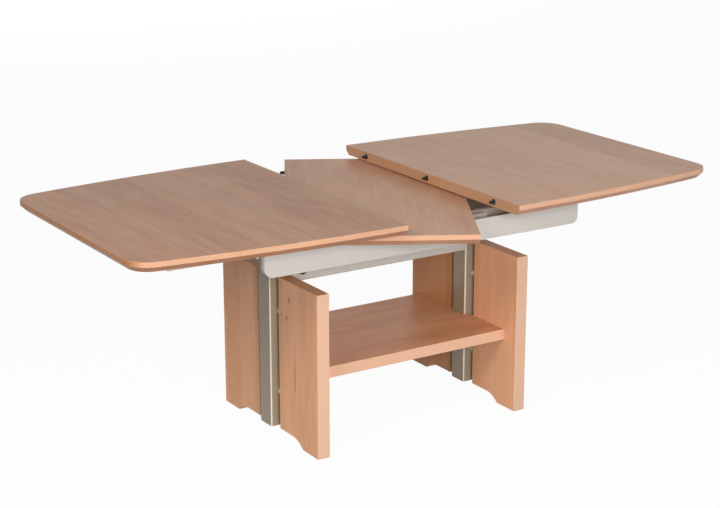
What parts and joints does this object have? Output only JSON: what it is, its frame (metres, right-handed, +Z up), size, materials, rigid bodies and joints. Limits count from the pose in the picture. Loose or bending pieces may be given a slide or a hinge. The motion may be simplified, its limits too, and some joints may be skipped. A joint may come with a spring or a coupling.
{
  "type": "extending table",
  "caption": "Low extending table with sliding top halves, a leaf that turns out from under them on a toothed turntable, and lifting columns in a panel-leg base with a shelf.",
  "frame": {"origin": "on the floor under the middle of the table", "axes": "+X along the table's length towards the half that carries the alignment pins, +Y across the table towards the rear, +Z up"},
  "size_m": [1.388, 0.7564, 0.506],
  "materials": {
    "top_wood": "satin lacquered beech",
    "base_wood": "satin lacquered beech",
    "dowel_wood": "plain turned beech",
    "column_paint": "satin taupe powder coat",
    "frame_paint": "satin light grey powder coat",
    "inner_frame_paint": "satin grey powder coat",
    "rail_aluminium": "drawn, anodised",
    "bright_steel": "zinc plated",
    "gas_spring_paint": "black paint",
    "gear_plastic": "moulded nylon",
    "buffer_rubber": "matte",
    "glide_felt": "pressed felt",
    "guide_plastic": "moulded nylon",
    "spacer_plastic": "natural nylon",
    "black_plastic": "moulded, slight sheen"
  },
  "bodies": {
    "base": {"beam_end_blocks": "frame_paint", "column_base_plugs": "guide_plastic", "foot_glides": "glide_felt", "gas_spring_rods": "bright_steel", "guide_collars": "guide_plastic", "left_front_panel": "base_wood", "left_outer_column": "column_paint", "left_rear_panel": "base_wood", "panel_spacers": "spacer_plastic", "panel_studs": "bright_steel", "release_bracket": "black_plastic", "release_pin": "bright_steel", "right_front_panel": "base_wood", "right_outer_column": "column_paint", "right_rear_panel": "base_wood", "shelf": "base_wood", "shelf_dowels": "dowel_wood", "stop_buffers": "buffer_rubber", "stretcher_beam": "frame_paint"},
    "lift_frame": {"left_inner_column": "column_paint", "right_inner_column": "column_paint", "guide_shoes": "guide_plastic", "head_plates": "inner_frame_paint", "left_cross_arm": "inner_frame_paint", "right_cross_arm": "inner_frame_paint", "front_apron": "frame_paint", "rear_apron": "frame_paint", "front_guide_rail": "rail_aluminium", "rear_guide_rail": "rail_aluminium", "centre_bearer": "inner_frame_paint", "pivot_bush": "guide_plastic", "gas_spring_cylinders": "gas_spring_paint", "frame_screws": "bright_steel"},
    "right_top": {"right_top_board": "top_wood", "right_inner_crossbar": "inner_frame_paint", "right_outer_crossbar": "inner_frame_paint", "right_front_runner": "rail_aluminium", "right_rear_runner": "rail_aluminium", "right_rack": "gear_plastic", "right_board_screws": "bright_steel", "right_runner_screws": "bright_steel", "right_alignment_pins": "black_plastic"},
    "left_top": {"left_top_board": "top_wood", "left_inner_crossbar": "inner_frame_paint", "left_outer_crossbar": "inner_frame_paint", "left_front_runner": "rail_aluminium", "left_rear_runner": "rail_aluminium", "left_rack": "gear_plastic", "left_board_screws": "bright_steel", "left_runner_screws": "bright_steel", "left_alignment_sockets": "black_plastic"},
    "leaf": {"leaf_board": "top_wood", "leaf_alignment_pins": "black_plastic", "leaf_alignment_sockets": "black_plastic", "turntable_gear": "gear_plastic", "gear_screws": "bright_steel", "pivot_post": "bright_steel", "retaining_collar": "bright_steel"},
    "release_lever": {"release_lever": "black_plastic"}
  },
  "joints": [
    {"name": "table_lift", "type": "slide", "parent": "base", "child": "lift_frame", "axis": [0, 0, 1], "range_m": [0, 0.2]},
    {"name": "right_top_slide", "type": "slide", "parent": "lift_frame", "child": "right_top", "axis": [1, 0, 0], "range_m": [-0.13404, 0.06702]},
    {"name": "left_top_slide", "type": "slide", "parent": "lift_frame", "child": "left_top", "axis": [-1, 0, 0], "range_m": [-0.13414, 0.06712]},
    {"name": "leaf_turn", "type": "hinge", "parent": "lift_frame", "child": "leaf", "pos_m": [0, 0, 0.44], "axis": [0, 0, 1], "range_deg": [-60.1, 30.1]},
    {"name": "release_lever_turn", "type": "hinge", "parent": "base", "child": "release_lever", "pos_m": [-0.1995, -0.0328, 0.351], "axis": [-1, 0, 0], "range_deg": [0, 25], "stiffness_Nm_per_rad": 0.3}
  ],
  "couplings": [
    {"joint": "left_top_slide", "follows": "right_top_slide", "ratio": 1},
    {"joint": "leaf_turn", "follows": "right_top_slide", "rad_per_m": 7.8125}
  ]
}
